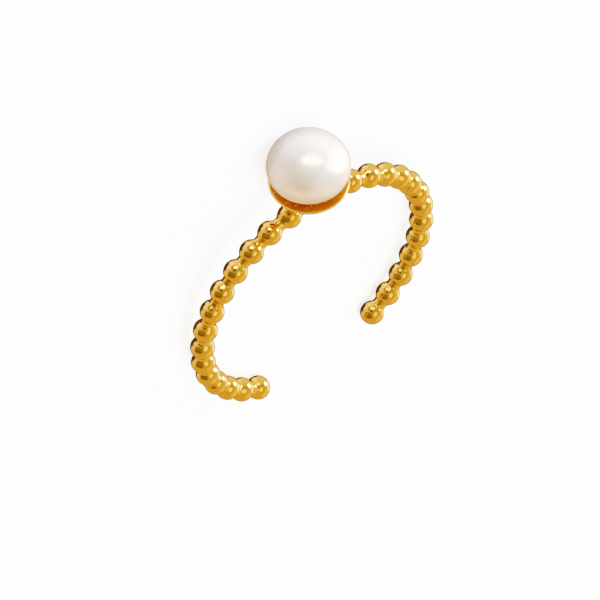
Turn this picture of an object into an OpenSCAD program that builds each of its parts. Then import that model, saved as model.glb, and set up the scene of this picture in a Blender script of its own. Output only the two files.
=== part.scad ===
// Open beaded ring with a button pearl in a cup on its middle bead.
// It lies on its side on the surface z = 0: the cup's rim and the two end beads touch it.
// The pearl points along -Y, and the ring is the same on both sides of the plane x = 0.

/* [Band] */
// Inside diameter of the band, between opposite beads
inside_d = 17.65; // [16:0.05:20]
// Diameter of one bead
bead_d = 1.75; // [1.6:0.01:1.78]
// Beads on each side of the middle bead
beads_a_side = 14; // [13:1:14]
// Angle between the two end beads, seen from the band's centre
opening_angle = 63.8; // [60:0.2:66]
// Diameter of the neck that joins two beads
neck_d = 1.02; // [0.7:0.01:1.2]

/* [Pearl] */
// Diameter of the pearl at its widest
pearl_d = 5.82; // [5.7:0.01:6]
// Height of the pearl's dome, above its widest circle
pearl_dome_h = 2.18; // [1.9:0.01:2.6]
// Height of the pearl's underside, below its widest circle
pearl_under_h = 1.89; // [1.8:0.01:1.95]
// Gap between the pearl and the metal that holds it
pearl_gap = 0.06; // [0.04:0.01:0.1]

/* [Cup] */
// Diameter of the cup's rim
rim_d = 5.65; // [5.4:0.01:5.7]
// Height of the rim above the middle bead's centre
rim_h = 2.44; // [2.3:0.01:2.6]
// Width of the rim's flat edge
rim_edge = 0.15; // [0.1:0.01:0.2]
// Depth of the dish inside the cup, at its middle
dish_depth = 0.32; // [0.28:0.01:0.4]
// How deep the cup's foot is soldered into the middle bead
foot_sunk = 0.2; // [0.12:0.01:0.3]
// Diameter of the post that carries the pearl
post_d = 0.8; // [0.7:0.05:1]
// Height of the post above the dish
post_h = 1.9; // [1.5:0.1:2.2]

/* [Hidden] */
$fn = 96;

// Band: the beads' centres lie on one circle
bead_r = bead_d / 2;
circle_r = inside_d / 2 + bead_r;
bead_step = (360 - opening_angle) / (2 * beads_a_side);
bead_spacing = 2 * circle_r * sin(bead_step / 2);
neck_length = bead_spacing - bead_r;

// Cup: its outside and its dish are both parts of spheres
rim_r = rim_d / 2;
cup_foot_h = bead_r - foot_sunk;
cup_depth = rim_h - cup_foot_h;
cup_r = (rim_r * rim_r + cup_depth * cup_depth) / (2 * cup_depth);
dish_rim_r = rim_r - rim_edge;
dish_r = (dish_rim_r * dish_rim_r + dish_depth * dish_depth) / (2 * dish_depth);
dish_floor_h = rim_h - dish_depth;

// Pearl: two half ellipsoids that meet at its widest circle
pearl_r = pearl_d / 2;
pearl_h = dish_floor_h + pearl_gap + pearl_under_h;
post_top_h = dish_floor_h + post_h;

// Resting pose: the ring leans until its cup and its end beads lie on the surface
end_bead_y = -circle_r * cos(180 - opening_angle / 2);
reach = circle_r + rim_h + end_bead_y;
lean = atan2(rim_r, reach) - asin(bead_r / norm([reach, rim_r]));
pearl_side_y = (circle_r + pearl_h) * cos(lean) + norm([pearl_dome_h * cos(lean), pearl_r * sin(lean)]);
end_side_y = end_bead_y * cos(lean) + bead_r;
rest_y = (pearl_side_y - end_side_y) / 2;
rest_z = bead_r + end_bead_y * sin(lean);

// Stands a shape on the surface. In the ring's own frame the pearl is towards -Y and the ring's axis is Z.
module resting() {
    translate([0, rest_y, rest_z]) rotate([-lean, 0, 0]) children();
}

// Puts a shape on the middle bead, with its Z pointing away from the ring's centre
module on_middle_bead() {
    translate([0, -circle_r, 0]) rotate([90, 0, 0]) children();
}

// One bead of the row, counted from the middle one
module bead(place) {
    rotate([0, 0, place * bead_step]) translate([0, -circle_r, 0]) rotate([0, 0, 90]) sphere(r = bead_r);
}

// The neck between a bead and the next one of the row, its ends inside the two beads
module neck(place) {
    rotate([0, 0, (place + 0.5) * bead_step])
        translate([-neck_length / 2, -circle_r * cos(bead_step / 2), 0])
            rotate([0, 90, 0]) cylinder(d = neck_d, h = neck_length);
}

module bead_row() {
    for (place = [-beads_a_side : beads_a_side]) bead(place);
    for (place = [-beads_a_side : beads_a_side - 1]) neck(place);
}

// The bowl outside, the shallow dish inside and the post in its middle
module cup() {
    difference() {
        intersection() {
            translate([0, 0, cup_foot_h + cup_r]) sphere(r = cup_r);
            cylinder(r = 2 * rim_r, h = rim_h);
        }
        translate([0, 0, dish_floor_h + dish_r]) sphere(r = dish_r);
    }
    translate([0, 0, bead_r]) cylinder(d = post_d, h = post_top_h - bead_r);
}

module beaded_band() {
    color([0.86, 0.62, 0.16]) resting() {
        bead_row();
        on_middle_bead() cup();
    }
}

// A half ellipsoid of revolution that rises from z = 0 to z = height
module half_ellipsoid(radius, height) {
    rotate_extrude()
        polygon(concat([[0, 0]], [for (a = [0 : 5 : 90]) [radius * cos(a), height * sin(a)]]));
}

module pearl() {
    color([0.95, 0.92, 0.88]) resting() on_middle_bead() difference() {
        translate([0, 0, pearl_h]) {
            half_ellipsoid(pearl_r, pearl_dome_h);
            mirror([0, 0, 1]) half_ellipsoid(pearl_r, pearl_under_h);
        }
        cylinder(r = post_d / 2 + pearl_gap, h = post_top_h + pearl_gap);
    }
}

beaded_band();
pearl();
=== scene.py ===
import math

import bmesh
import bpy
from mathutils import Matrix, Vector


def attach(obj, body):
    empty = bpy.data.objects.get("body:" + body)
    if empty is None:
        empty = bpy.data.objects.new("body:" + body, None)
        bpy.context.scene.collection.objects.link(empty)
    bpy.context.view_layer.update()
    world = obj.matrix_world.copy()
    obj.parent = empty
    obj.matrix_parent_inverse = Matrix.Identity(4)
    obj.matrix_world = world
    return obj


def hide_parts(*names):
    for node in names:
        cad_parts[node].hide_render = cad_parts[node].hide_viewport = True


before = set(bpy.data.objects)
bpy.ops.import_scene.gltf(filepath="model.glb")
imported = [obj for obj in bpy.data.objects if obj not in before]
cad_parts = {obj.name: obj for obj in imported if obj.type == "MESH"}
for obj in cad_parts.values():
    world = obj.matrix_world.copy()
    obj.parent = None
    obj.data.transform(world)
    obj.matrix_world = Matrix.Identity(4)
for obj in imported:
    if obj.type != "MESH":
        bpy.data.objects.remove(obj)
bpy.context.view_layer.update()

# The ring's sizes, in millimetres, as in the part's source
MM = 0.001
BEAD_R = 0.875
CIRCLE_R = 17.65 / 2 + BEAD_R
BEADS_A_SIDE = 14
OPENING = math.radians(63.8)
STEP = (2 * math.pi - OPENING) / (2 * BEADS_A_SIDE)
NECK_R = 0.51
RIM_R = 5.65 / 2
RIM_H = 2.44
RIM_EDGE = 0.15
DISH_DEPTH = 0.32
FOOT_SUNK = 0.2
POST_R = 0.4
POST_H = 1.9
PEARL_R = 5.82 / 2
DOME_H = 2.18
UNDER_H = 1.89
PEARL_GAP = 0.06

# The small rounds and bevels that the plain part leaves out, in millimetres
NECK_FILLET = 0.12
SOLDER_R = 0.18
SOLDER_SUNK = 0.004
LIP_R = 0.03
RIM_TAPER = 0.02
POST_FILLET = 0.03
POST_CHAMFER = 0.06

# The smooth surfaces stay this far inside the plain part's box
INSET = 0.006
ROUND_R = BEAD_R - INSET

# The cup's outside and its dish are parts of spheres
FOOT_H = BEAD_R - FOOT_SUNK
CUP_DEPTH = RIM_H - FOOT_H
CUP_R = (RIM_R ** 2 + CUP_DEPTH ** 2) / (2 * CUP_DEPTH)
CUP_CENTRE_H = FOOT_H + CUP_R
DISH_RIM_R = RIM_R - RIM_EDGE
DISH_R = (DISH_RIM_R ** 2 + DISH_DEPTH ** 2) / (2 * DISH_DEPTH)
DISH_FLOOR_H = RIM_H - DISH_DEPTH
PEARL_H = DISH_FLOOR_H + PEARL_GAP + UNDER_H
POST_TOP_H = DISH_FLOOR_H + POST_H

# How finely the surfaces are divided
BAND_SIDES = 60
BEAD_STEPS = 34
NECK_STEPS = 7
CUP_SIDES = 144
BOWL_STEPS = 40
DISH_STEPS = 24
SOLDER_STEPS = 10
LIP_STEPS = 6
PEARL_SIDES = 160
PEARL_STEPS = 60

# The camera, as it stood to the ring in the photo, in millimetres. The ring's centre is a little to the right
# of the picture's middle and above it.
VIEW_AZIMUTH = math.radians(23.69)
VIEW_ELEVATION = math.radians(32.59)
VIEW_ROLL = math.radians(-133.5)
VIEW_DISTANCE = 456.8
VIEW_LENS = 393.5
CENTRE_RIGHT = 0.89
CENTRE_UP = 1.20

# The tone response: brightness stays as it is up to the bend, and then rises on the steep straight line from
# there through TONE_STEEP, as far as the limit
TONE_BEND = (1.3, 1.3)
TONE_STEEP = (1.8, 6.0)
TONE_LIMIT = 20

# The floor's half width and the lamps' distance from the ring, in metres
FLOOR_HALF = 6.0
LAMP_DISTANCE = 0.25


def resting():
    """Matrix from the ring's own frame, in millimetres, to the part's frame: the ring lies on its side."""
    end_y = -CIRCLE_R * math.cos(math.pi - OPENING / 2)
    reach = CIRCLE_R + RIM_H + end_y
    lean = math.atan2(RIM_R, reach) - math.asin(BEAD_R / math.hypot(reach, RIM_R))
    pearl_y = (CIRCLE_R + PEARL_H) * math.cos(lean)
    pearl_y += math.hypot(DOME_H * math.cos(lean), PEARL_R * math.sin(lean))
    rest_y = (pearl_y - end_y * math.cos(lean) - BEAD_R) / 2
    rest_z = BEAD_R + end_y * math.sin(lean)
    return Matrix.Scale(MM, 4) @ Matrix.Translation((0, rest_y, rest_z)) @ Matrix.Rotation(-lean, 4, "X")


def view_axes():
    """The photo camera's right, up and backward directions in the part's frame."""
    flat = math.cos(VIEW_ELEVATION)
    back = Vector((math.sin(VIEW_AZIMUTH) * flat, -math.cos(VIEW_AZIMUTH) * flat, math.sin(VIEW_ELEVATION)))
    level_right = Vector((math.cos(VIEW_AZIMUTH), math.sin(VIEW_AZIMUTH), 0))
    level_up = back.cross(level_right)
    up = level_up * math.cos(VIEW_ROLL) + level_right * math.sin(VIEW_ROLL)
    return up.cross(back), up, back


RESTING = resting()
RING_CENTRE = RESTING @ Vector((0, 0, 0))
ON_MIDDLE_BEAD = RESTING @ Matrix.Translation((0, -CIRCLE_R, 0)) @ Matrix.Rotation(math.radians(90), 4, "X")
RIGHT, UP, BACK = view_axes()


# Shapes

def arc(centre, radius, start, end, steps):
    """Points on an arc from the angle start to the angle end, in degrees."""
    angles = [math.radians(start + (end - start) * i / steps) for i in range(steps + 1)]
    return [(centre[0] + radius * math.cos(a), centre[1] + radius * math.sin(a)) for a in angles]


def whole_turn(sides):
    """The angles of one whole turn in even steps."""
    return [2 * math.pi * i / sides for i in range(sides)]


def skin(name, rings, matrix):
    """A closed smooth surface through rings of points. A ring of one point is a pole."""
    points, faces, starts = [], [], []
    for ring in rings:
        starts.append(len(points))
        points += [matrix @ Vector(p) for p in ring]
    for ring, after, start, next_start in zip(rings, rings[1:], starts, starts[1:]):
        sides = max(len(ring), len(after))
        for i in range(sides):
            j = (i + 1) % sides
            corners = [start + i % len(ring), start + j % len(ring)]
            corners += [next_start + j % len(after), next_start + i % len(after)]
            faces.append(list(dict.fromkeys(corners)))
    mesh = bpy.data.meshes.new(name)
    mesh.from_pydata(points, [], faces)
    mesh.update()
    piece = bpy.data.objects.new(name, mesh)
    bpy.context.scene.collection.objects.link(piece)
    return piece


def lathe(name, profile, sides, matrix):
    """Turns a profile of (radius, height) points about Z. A radius of 0 is a pole."""
    rings = []
    for radius, height in profile:
        if radius:
            rings.append([(radius * math.cos(t), radius * math.sin(t), height) for t in whole_turn(sides)])
        else:
            rings.append([(0, 0, height)])
    return skin(name, rings, matrix)


def smooth_max(a, b, width):
    """The larger of two sizes, with a rounded change from one to the other."""
    overlap = max(width - abs(a - b), 0) / width
    return max(a, b) + overlap * overlap * width / 4


def band_section(angle):
    """The band's round section at an angle from the middle bead: its distance from the ring's centre, and its
    radius."""
    place = max(-BEADS_A_SIDE, min(BEADS_A_SIDE, round(angle / STEP)))
    turn = angle - place * STEP
    bead = math.sqrt(max(ROUND_R ** 2 - (CIRCLE_R * math.sin(turn)) ** 2, 0))
    bead_out = CIRCLE_R * math.cos(turn)
    if abs(angle) > BEADS_A_SIDE * STEP:
        return bead_out, bead
    neck_out = CIRCLE_R * math.cos(STEP / 2) / math.cos(abs(turn) - STEP / 2)
    share = min(max((NECK_R - bead) / NECK_FILLET + 0.5, 0), 1)
    return bead_out + (neck_out - bead_out) * share, smooth_max(bead, NECK_R, NECK_FILLET)


def band_angles():
    """Angles of the band's sections: even steps over each bead's round, and even steps along each neck."""
    neck_start = math.acos(NECK_R / ROUND_R)
    last = BEADS_A_SIDE
    angles = []
    for place in range(-last, last + 1):
        low = -math.pi / 2 if place == -last else -neck_start
        high = math.pi / 2 if place == last else neck_start
        steps = round(BEAD_STEPS * (high - low) / (2 * neck_start))
        for i in range(steps + 1):
            swing = low + (high - low) * i / steps
            angles.append(place * STEP + math.asin(ROUND_R * math.sin(swing) / CIRCLE_R))
        if place < last:
            start = angles[-1]
            end = (2 * place + 1) * STEP - start
            angles += [start + (end - start) * i / NECK_STEPS for i in range(1, NECK_STEPS)]
    return angles


def band():
    """The row of beads and their necks as one smooth closed surface."""
    angles = band_angles()
    rings = []
    for angle in angles:
        out, radius = band_section(angle)
        outward = Vector((math.sin(angle), -math.cos(angle), 0))
        if angle in (angles[0], angles[-1]):
            rings.append([outward * out])
            continue
        ring = []
        for turn in whole_turn(BAND_SIDES):
            down = Vector((0, 0, -radius * math.sin(turn)))
            ring.append(outward * (out + radius * math.cos(turn)) + down)
        rings.append(ring)
    return skin("beaded_band_metal", rings, RESTING)


def solder_round():
    """Points of the hollow round of solder between the middle bead and the cup, from just inside the bead
    upwards."""
    bead_reach = ROUND_R - SOLDER_SUNK + SOLDER_R
    cup_reach = CUP_R + SOLDER_R
    centre_h = (bead_reach ** 2 - cup_reach ** 2 + CUP_CENTRE_H ** 2) / (2 * CUP_CENTRE_H)
    centre_r = math.sqrt(bead_reach ** 2 - centre_h ** 2)
    start = math.degrees(math.atan2(-centre_h, -centre_r))
    end = math.degrees(math.atan2(CUP_CENTRE_H - centre_h, -centre_r)) - 360
    return arc((centre_r, centre_h), SOLDER_R, start, end, SOLDER_STEPS)


def rim(edge_r):
    """Points over the cup's rim, rounded on both sides, from its outer edge at a radius to its inner one."""
    height = RIM_H - LIP_R
    inner_end = 165
    outside = arc((edge_r - LIP_R, height), LIP_R, 0, 90, LIP_STEPS)
    inside = arc((DISH_RIM_R + LIP_R, height), LIP_R, 90, inner_end, LIP_STEPS)
    return outside + inside


def cup():
    """The pearl's cup and its post: a bowl with a rounded rim, a shallow dish inside and a post in the
    middle. Its lower end is inside the middle bead."""
    foot = solder_round()
    foot_angle = math.degrees(math.atan2(foot[-1][1] - CUP_CENTRE_H, foot[-1][0]))
    rim_angle = math.degrees(math.atan2(RIM_H - LIP_R - CUP_CENTRE_H, RIM_R - RIM_TAPER))
    bowl = arc((0, CUP_CENTRE_H), CUP_R, foot_angle, rim_angle, BOWL_STEPS)
    dish_angle = math.degrees(math.asin(DISH_RIM_R / DISH_R))
    post_angle = math.degrees(math.asin((POST_R + POST_FILLET) / DISH_R))
    dish = arc((0, DISH_FLOOR_H + DISH_R), DISH_R, dish_angle - 90, post_angle - 90, DISH_STEPS)
    post = [
        (POST_R, dish[-1][1] + POST_FILLET),
        (POST_R, POST_TOP_H - POST_CHAMFER),
        (POST_R - POST_CHAMFER, POST_TOP_H),
        (0, POST_TOP_H),
    ]
    start_h = 0.2
    start_r = foot[0][0] - 0.25
    start = [(0, start_h), (start_r, start_h)]
    profile = start + foot + bowl[1:] + rim(bowl[-1][0]) + dish[1:] + post
    return lathe("cup", profile, CUP_SIDES, ON_MIDDLE_BEAD)


def merge_same_points(mesh):
    """Merges corners that lie on one spot, so that no face is a sliver."""
    same_spot = 0.0001
    solid = bmesh.new()
    solid.from_mesh(mesh)
    bmesh.ops.remove_doubles(solid, verts=solid.verts, dist=same_spot * MM)
    solid.to_mesh(mesh)
    solid.free()


def join(piece, other):
    """Unites two closed pieces into one, in the first piece's place."""
    union = piece.modifiers.new("union", "BOOLEAN")
    union.operation = "UNION"
    union.solver = "MANIFOLD"
    union.object = other
    joined = bpy.data.meshes.new_from_object(piece.evaluated_get(bpy.context.evaluated_depsgraph_get()))
    joined.materials.clear()
    merge_same_points(joined)
    piece.modifiers.clear()
    piece.data = joined
    bpy.data.objects.remove(other)


def shade_smooth(piece, sharp_above):
    """Shades a piece smoothly, apart from edges that turn by more than an angle in degrees."""
    piece.data.shade_smooth()
    piece.data.set_sharp_from_angle(angle=math.radians(sharp_above))


def metal():
    """The soldered metal: the row of beads with the cup and its post, as one closed surface."""
    piece = band()
    join(piece, cup())
    shade_smooth(piece, sharp_above=42)
    return piece


def pearl():
    """The pearl: a flattened ball with a hole drilled into it from below."""
    hole_r = POST_R + PEARL_GAP
    hole_h = POST_TOP_H + PEARL_GAP - PEARL_H
    mouth = math.degrees(math.acos(hole_r / PEARL_R))
    widest = PEARL_R - INSET
    under = [(widest * x, UNDER_H * y) for x, y in arc((0, 0), 1, -mouth, 0, PEARL_STEPS)]
    dome = [(widest * x, (DOME_H - INSET) * y) for x, y in arc((0, 0), 1, 0, 90, PEARL_STEPS)]
    profile = [(0, hole_h), (hole_r, hole_h)] + under + dome[1:-1] + [(0, DOME_H - INSET)]
    piece = lathe("pearl_nacre", profile, PEARL_SIDES, ON_MIDDLE_BEAD @ Matrix.Translation((0, 0, PEARL_H)))
    shade_smooth(piece, sharp_above=50)
    return piece


# Materials

class Nodes:
    """Adds and links shader nodes with short calls."""

    def __init__(self, tree):
        self.tree = tree
        tree.nodes.clear()

    def add(self, kind, inputs=(), **settings):
        """A node with settings, and with each input set to a value or linked to another node's output."""
        node = self.tree.nodes.new("ShaderNode" + kind)
        for name, value in settings.items():
            setattr(node, name, value)
        for socket, value in dict(inputs).items():
            if isinstance(value, bpy.types.NodeSocket):
                self.tree.links.new(value, node.inputs[socket])
            else:
                node.inputs[socket].default_value = value
        return node

    def math(self, operation, a, b=0.0):
        """One step of arithmetic with numbers."""
        return self.add("Math", {0: a, 1: b}, operation=operation).outputs[0]

    def dot(self, a, b):
        """The dot product of two vectors."""
        return self.add("VectorMath", {0: a, 1: b}, operation="DOT_PRODUCT").outputs["Value"]

    def steps(self, value, low, high, from_value=0.0, to_value=1.0):
        """A soft change from one value to another while the input goes from low to high."""
        inputs = {"Value": value, "From Min": low, "From Max": high, "To Min": from_value, "To Max": to_value}
        return self.add("MapRange", inputs, interpolation_type="SMOOTHSTEP").outputs["Result"]

    def blend(self, share, before, colour):
        """Changes from a colour so far to a plain colour, by the share."""
        inputs = {"Factor": share, "A": before, "B": (*colour, 1)}
        return self.add("Mix", inputs, data_type="RGBA").outputs["Result"]

    def in_mm(self):
        """Surface coordinates in millimetres."""
        place = self.add("TexCoord").outputs["Object"]
        inputs = {"Vector": place, "Scale": 1 / MM}
        return self.add("VectorMath", inputs, operation="SCALE").outputs["Vector"]

    def noise(self, place, size, detail=2.0):
        """Noise whose features are about size millimetres across."""
        inputs = {"Vector": place, "Scale": 1 / size, "Detail": detail}
        return self.add("TexNoise", inputs).outputs["Fac"]

    def ramp(self, value, stops):
        """Colours by value, from stops of (position, colour)."""
        node = self.add("ValToRGB", {"Fac": value})
        for i, (position, colour) in enumerate(stops):
            stop = node.color_ramp.elements[i] if i < 2 else node.color_ramp.elements.new(position)
            stop.position = position
            stop.color = (*colour, 1)
        return node.outputs["Color"]

    def bump(self, height, depth, before=None):
        """Raises and sinks the surface by a height map, depth in millimetres."""
        inputs = {"Height": height, "Distance": depth * MM, "Strength": 1.0}
        if before is not None:
            inputs["Normal"] = before
        return self.add("Bump", inputs).outputs["Normal"]


def new_material(name):
    """An empty material and the means to add its nodes."""
    material = bpy.data.materials.new(name)
    material.use_nodes = True
    return material, Nodes(material.node_tree)


def finish_material(nodes, inputs):
    """Adds the shader with its inputs, and the material's output."""
    shader = nodes.add("BsdfPrincipled", inputs)
    nodes.add("OutputMaterial", {"Surface": shader.outputs["BSDF"]})


def polished_gold():
    """Bright yellow gold plate: slightly uneven polish, faint haze and slow changes of colour."""
    material, nodes = new_material("polished_gold")
    place = nodes.in_mm()
    waves = nodes.noise(place, 0.9, 1.0)
    haze = nodes.noise(place, 0.25, 3.0)
    grain = nodes.noise(place, 0.04, 2.0)
    colour = nodes.ramp(waves, [(0.35, (0.92, 0.715, 0.295)), (0.65, (0.94, 0.745, 0.33))])
    roughness = nodes.steps(haze, 0.35, 0.7, 0.05, 0.11)
    normal = nodes.bump(grain, 0.00012, nodes.bump(waves, 0.006))
    finish_material(nodes, {
        "Base Color": colour, "Metallic": 1.0, "Roughness": roughness, "Normal": normal,
        "Coat Weight": 0.2, "Coat Roughness": 0.1,
    })
    return material


def dish_gold():
    """The gold inside the cup, less polished. Its colour is painted darker and browner as shade under the
    pearl, and its tiny beads of glue are painted pale so that they show as glints.
    """
    material, nodes = new_material("dish_gold")
    place = nodes.in_mm()
    cast = nodes.noise(place, 0.3, 3.0)
    bead_spacing = 0.32
    specks = nodes.add("TexVoronoi", {"Vector": place, "Scale": 1 / bead_spacing}).outputs["Distance"]
    # Specks of glue, painted pale so that they show as small glints: partly real glue, partly painted
    # highlight
    glue_and_glints = nodes.steps(specks, 0.12, 0.22, 1.0, 0.0)
    # Painted shade: the dish's gold is darker and browner, standing in for the shade and gold-tinted bounce
    # light under the pearl
    shaded_dish_colour = nodes.ramp(cast, [(0.3, (0.62, 0.29, 0.015)), (0.7, (0.70, 0.35, 0.02))])
    colour = nodes.blend(glue_and_glints, shaded_dish_colour, (1.0, 0.85, 0.6))
    roughness = nodes.steps(cast, 0.3, 0.7, 0.40, 0.52)
    normal = nodes.bump(glue_and_glints, 0.015, nodes.bump(cast, 0.006))
    finish_material(nodes, {
        "Base Color": colour, "Metallic": 0.3, "Roughness": roughness, "Normal": normal,
        "Coat Weight": 0.1, "Coat Roughness": 0.15,
    })
    return material


def nacre():
    """White nacre: a chalky body under a soft metallic lustre, with slow patches. It is painted creamier
    towards the cup, a painted warm reflection of the gold."""
    material, nodes = new_material("nacre")
    place = nodes.in_mm()
    patches = nodes.noise(place, 2.4, 2.0)
    cloud = nodes.noise(place, 0.7, 3.0)
    white = nodes.ramp(patches, [
        (0.3, (0.68, 0.70, 0.71)), (0.5, (0.70, 0.73, 0.74)), (0.7, (0.71, 0.72, 0.735)),
    ])
    middle = ON_MIDDLE_BEAD @ Vector((0, 0, PEARL_H)) / MM
    away_from_cup = (ON_MIDDLE_BEAD.to_3x3() @ Vector((0, 0, 1))).normalized()
    widest_h = middle.dot(away_from_cup)
    # Painted reflection: the nacre turns creamier towards the cup, standing in for the warm light that the
    # gold throws on it
    cup_bounce_reach = 1.8
    painted_cup_bounce = nodes.steps(nodes.dot(place, away_from_cup), widest_h, widest_h + cup_bounce_reach, 1.0, 0.0)
    colour = nodes.blend(painted_cup_bounce, white, (0.72, 0.675, 0.64))
    roughness = nodes.steps(cloud, 0.3, 0.7, 0.29, 0.35)
    finish_material(nodes, {
        "Base Color": colour, "Metallic": 0.28, "Roughness": roughness,
        "Specular IOR Level": 0.6, "Coat Weight": 0.4, "Coat Roughness": 0.36,
    })
    return material


def pale_floor():
    """A faintly mottled ground. Its bluish colour cancels the warm room's light, so that it looks white."""
    material, nodes = new_material("pale_floor")
    mottle = nodes.noise(nodes.in_mm(), 8.0, 4.0)
    colour = nodes.ramp(mottle, [(0.3, (0.39, 0.57, 0.91)), (0.7, (0.40, 0.58, 0.92))])
    finish_material(nodes, {
        "Base Color": colour, "Roughness": 0.9, "Specular IOR Level": 0.0,
        "Emission Color": (1.0, 0.99, 0.98, 1), "Emission Strength": 1.12,
    })
    return material


# Light, floor and camera. Left, right, above and below are meant as in the picture.

def shown_at(x, y):
    """The direction that a round bead mirrors at this place of its disc, seen from the photo's camera. The
    disc runs from -1 to 1, x to the right and y up."""
    z = math.sqrt(1 - x * x - y * y)
    return RIGHT * (2 * z * x) + UP * (2 * z * y) + BACK * (2 * z * z - 1)


# The room's light, by how far a direction has turned from straight behind the ring (0) to the camera (1)
ROOM = [
    (0.0, (0.12, 0.09, 0.05)), (0.015, (0.24, 0.16, 0.08)), (0.05, (0.72, 0.44, 0.22)),
    (0.12, (0.95, 0.50, 0.26)), (0.20, (1.05, 0.50, 0.28)), (0.33, (1.03, 0.47, 0.25)),
    (0.46, (0.96, 0.44, 0.20)), (0.69, (0.68, 0.38, 0.15)), (0.93, (0.49, 0.30, 0.12)),
]

# Broad glows over the room: direction, the cosines at which the glow starts and is full, colour
GLOWS = [
    (UP * -0.9 - RIGHT * 0.3, 0.3, 0.9, (0.68, 0.34, 0.14)),   # brown, below
    (UP * 0.95 + RIGHT * 0.2, 0.5, 0.95, (0.98, 0.57, 0.36)),  # pale, above
    (UP * 0.6 - RIGHT * 0.8, 0.3, 0.8, (0.94, 0.52, 0.38)),    # pale, upper left
]

# Softboxes and cards, each laid over those before it: the place x, y of a bead's disc that mirrors it, its
# half width, half height and soft edge as tangents of angles, its colour, and the direction of its width
PANELS = [
    (-0.42, 0.56, 0.66, 0.38, 0.12, (1.50, 0.83, 0.66), RIGHT),    # wide softbox, upper left
    (-0.12, 0.28, 0.42, 0.42, 0.08, (0.46, 0.27, 0.10), RIGHT),    # brown card beside it
    (-0.73, 0.61, 0.31, 0.70, 0.10, (0.14, 0.10, 0.05), BACK),     # dark card at the upper left edge
    (-0.75, 0.41, 0.42, 0.42, 0.14, (0.10, 0.08, 0.05), BACK),     # dark card below it
    (0.56, -0.53, 0.27, 0.38, 0.12, (1.24, 0.50, 0.20), BACK),     # orange light, lower right
    (0.75, 0.24, 0.45, 0.32, 0.18, (1.02, 0.60, 0.40), BACK),      # soft light, right
    (0.88, 0.12, 0.29, 0.40, 0.10, (1.85, 1.18, 0.82), BACK),      # brighter strip at the right edge
    (-0.31, -0.28, 0.72, 0.50, 0.08, (0.27, 0.18, 0.045), RIGHT),  # brown card, lower left
    (-0.33, -0.38, 0.50, 0.16, 0.14, (0.19, 0.13, 0.035), RIGHT),  # its darker middle
    (-0.05, 0.09, 0.14, 0.14, 0.06, (0.08, 0.05, 0.02), RIGHT),    # the dark camera
    (0.28, -0.17, 0.34, 0.23, 0.07, (1.68, 0.80, 0.42), RIGHT * 0.45 + UP * 0.9),  # slanting window
    (0.03, 0.33, 0.30, 0.20, 0.06, (3.0, 2.2, 1.35), RIGHT),       # bright softbox above the middle
    (0.62, 0.31, 0.19, 0.20, 0.08, (12.0, 10.0, 7.0), RIGHT),      # small lamp, upper right
]


def panel(nodes, light, before, centre, half_width, half_height, edge, colour, level):
    """Lays a soft-edged rectangle of light, or a dark card, over the light so far. Its sizes are tangents of
    angles, and its width runs along the direction level."""
    across = (level - centre * level.dot(centre)).normalized()
    along = centre.cross(across)
    depth = nodes.dot(light, centre)
    mask = nodes.steps(depth, 0.0, 0.1)
    for axis, half in ((across, half_width), (along, half_height)):
        offset = nodes.math("ABSOLUTE", nodes.math("DIVIDE", nodes.dot(light, axis), depth))
        mask = nodes.math("MULTIPLY", mask, nodes.steps(offset, half - edge, half + edge, 1.0, 0.0))
    return nodes.blend(mask, before, colour)


def studio():
    """The light of a warm room with softboxes, and brown cards between them."""
    world = bpy.data.worlds.new("studio")
    world.use_nodes = True
    bpy.context.scene.world = world
    nodes = Nodes(world.node_tree)
    light = nodes.add("TexCoord").outputs["Generated"]
    glow = nodes.ramp(nodes.steps(nodes.dot(light, BACK), -1.0, 1.0), ROOM)
    for direction, starts, full, colour in GLOWS:
        share = nodes.steps(nodes.dot(light, direction.normalized()), starts, full)
        glow = nodes.blend(share, glow, colour)
    for x, y, half_width, half_height, edge, colour, level in PANELS:
        glow = panel(nodes, light, glow, shown_at(x, y), half_width, half_height, edge, colour, level)
    background = nodes.add("Background", {"Color": glow, "Strength": 1.0})
    nodes.add("OutputWorld", {"Surface": background.outputs["Background"]})


def floor():
    """A pale floor that only the camera sees, so that the metal mirrors the studio alone. It takes the ring's
    shadows."""
    half = FLOOR_HALF
    corners = [(-half, -half, 0), (half, -half, 0), (half, half, 0), (-half, half, 0)]
    mesh = bpy.data.meshes.new("floor")
    mesh.from_pydata(corners, [], [(0, 1, 2, 3)])
    piece = bpy.data.objects.new("floor", mesh)
    piece.data.materials.append(pale_floor())
    piece.visible_glossy = False
    piece.visible_diffuse = False
    bpy.context.scene.collection.objects.link(piece)
    return piece


def lamp_for(lit, name, towards, size, brightness, colour, mirrored=False, level=RIGHT):
    """A soft oval lamp that lights one object alone, in a direction from the ring. Its size is half its width
    and half its height, as tangents of angles, and its width runs along the direction level. Its brightness
    is that of its face."""
    towards = towards.normalized()
    across = (level - towards * level.dot(towards)).normalized()
    turned = Matrix((across, towards.cross(across), towards)).transposed().to_4x4()
    half_width = size[0] * LAMP_DISTANCE
    half_height = size[1] * LAMP_DISTANCE
    data = bpy.data.lights.new(name, "AREA")
    data.shape = "ELLIPSE"
    data.size = 2 * half_width
    data.size_y = 2 * half_height
    data.energy = brightness * math.pi * math.pi * half_width * half_height
    data.color = colour
    lamp = bpy.data.objects.new(name, data)
    lamp.matrix_world = Matrix.Translation(RING_CENTRE + towards * LAMP_DISTANCE) @ turned
    lamp.visible_glossy = mirrored
    bpy.context.scene.collection.objects.link(lamp)
    receivers = bpy.data.collections.new(name + "_falls_on")
    receivers.objects.link(lit)
    lamp.light_linking.receiver_collection = receivers


def light_floor(ground):
    """A wide lamp straight over the floor, whose warm colour is white on the floor's bluish one. It gives the
    soft shadows."""
    lamp_for(
        ground, "floor_light", Vector((0, 0, 1)),
        size=(0.6, 0.6), brightness=4.8, colour=(1.0, 0.71, 0.465),
    )


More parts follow.
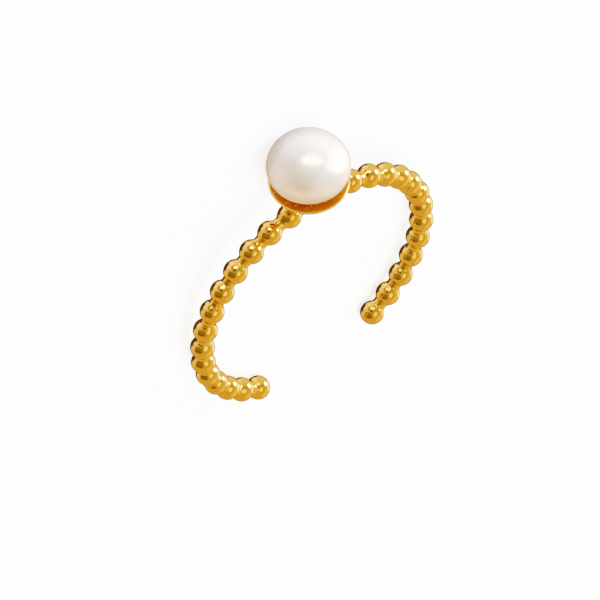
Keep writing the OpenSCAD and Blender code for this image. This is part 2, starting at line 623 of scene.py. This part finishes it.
def light_pearl(ball):
    """The pearl's soft lamps: cool ones from the right and from above, warm ones from the left and below."""
    lamp_for(
        ball, "pearl_side", RIGHT * 0.85 + UP * 0.42 + BACK * 0.37,
        size=(0.25, 0.25), brightness=14.3, colour=(0.92, 0.95, 1.0),
    )
    lamp_for(
        ball, "pearl_glow", RIGHT * 0.80 + UP * 0.40 + BACK * 0.15,
        size=(0.8, 0.40), brightness=2.8, colour=(0.70, 0.90, 1.0), mirrored=True, level=BACK,
    )
    lamp_for(
        ball, "pearl_top", shown_at(0.04, 0.33),
        size=(0.39, 0.16), brightness=4.8, colour=(0.86, 0.97, 1.0), mirrored=True,
    )
    lamp_for(
        ball, "pearl_over", UP * 0.95 - RIGHT * 0.1 + BACK * 0.15,
        size=(0.8, 0.5), brightness=1.55, colour=(0.62, 0.88, 1.0), mirrored=True,
    )
    lamp_for(
        ball, "pearl_left", RIGHT * -0.80 - UP * 0.25 + BACK * 0.2,
        size=(0.8, 0.8), brightness=0.75, colour=(1.0, 0.80, 0.70), mirrored=True,
    )
    lamp_for(
        ball, "pearl_rim", RIGHT * -0.8 - UP * 0.7 - BACK * 0.45,
        size=(0.9, 0.6), brightness=1.75, colour=(1.0, 0.91, 0.85),
    )
    lamp_for(
        ball, "pearl_below", UP * -0.87 + RIGHT * 0.12 + BACK * 0.25,
        size=(1.2, 0.5), brightness=1.15, colour=(1.0, 0.64, 0.46), mirrored=True,
    )


def tone():
    """A photographic response whose brightest tones run quickly to white, as in a photo on a white ground."""
    view = bpy.context.scene.view_settings
    view.view_transform = "Filmic"
    view.look = "Very High Contrast"
    view.use_curve_mapping = True
    levels = view.curve_mapping
    levels.clip_max_x = TONE_LIMIT
    levels.clip_max_y = TONE_LIMIT
    all_colours = levels.curves[3].points
    all_colours[1].location = TONE_STEEP
    all_colours.new(*TONE_BEND)
    for point in all_colours:
        point.handle_type = "VECTOR"
    levels.extend = "EXTRAPOLATED"
    levels.update()


def camera():
    """The camera at the photo's angle to the ring."""
    data = bpy.data.cameras.new("camera")
    data.lens = VIEW_LENS
    data.clip_start = 0.01
    data.clip_end = 50
    viewer = bpy.data.objects.new("camera", data)
    aim = RING_CENTRE - (RIGHT * CENTRE_RIGHT + UP * CENTRE_UP) * MM
    turned = Matrix((RIGHT, UP, BACK)).transposed().to_4x4()
    viewer.matrix_world = Matrix.Translation(aim + BACK * VIEW_DISTANCE * MM) @ turned
    bpy.context.scene.collection.objects.link(viewer)
    bpy.context.scene.camera = viewer


# The finished pieces

def stand_for(piece, node, slot, *materials):
    """The piece is shown in the place of the plain node, and rides on the part's one body."""
    for material in materials:
        piece.data.materials.append(material)
    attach(piece, "root")
    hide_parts(node)


def finish_dish(piece):
    """Gives the faces inside the cup, and those of the post, the second material."""
    into_cup = ON_MIDDLE_BEAD.inverted()
    rim_margin = 0.02
    floor_margin = 0.05
    widest = DISH_RIM_R - rim_margin
    lowest = DISH_FLOOR_H - floor_margin
    highest = RIM_H + POST_H
    for face in piece.data.polygons:
        place = into_cup @ face.center
        inside = math.hypot(place.x, place.y) < widest and lowest < place.z < highest
        face.material_index = 1 if inside else 0


def show_metal():
    """The band with its cup, in gold."""
    piece = metal()
    stand_for(piece, "beaded_band", "gold", polished_gold(), dish_gold())
    finish_dish(piece)


def show_pearl():
    """The pearl, in nacre, with its own lamps."""
    piece = pearl()
    stand_for(piece, "pearl", "pearl", nacre())
    light_pearl(piece)


camera()
studio()
tone()
light_floor(floor())
show_metal()
show_pearl()
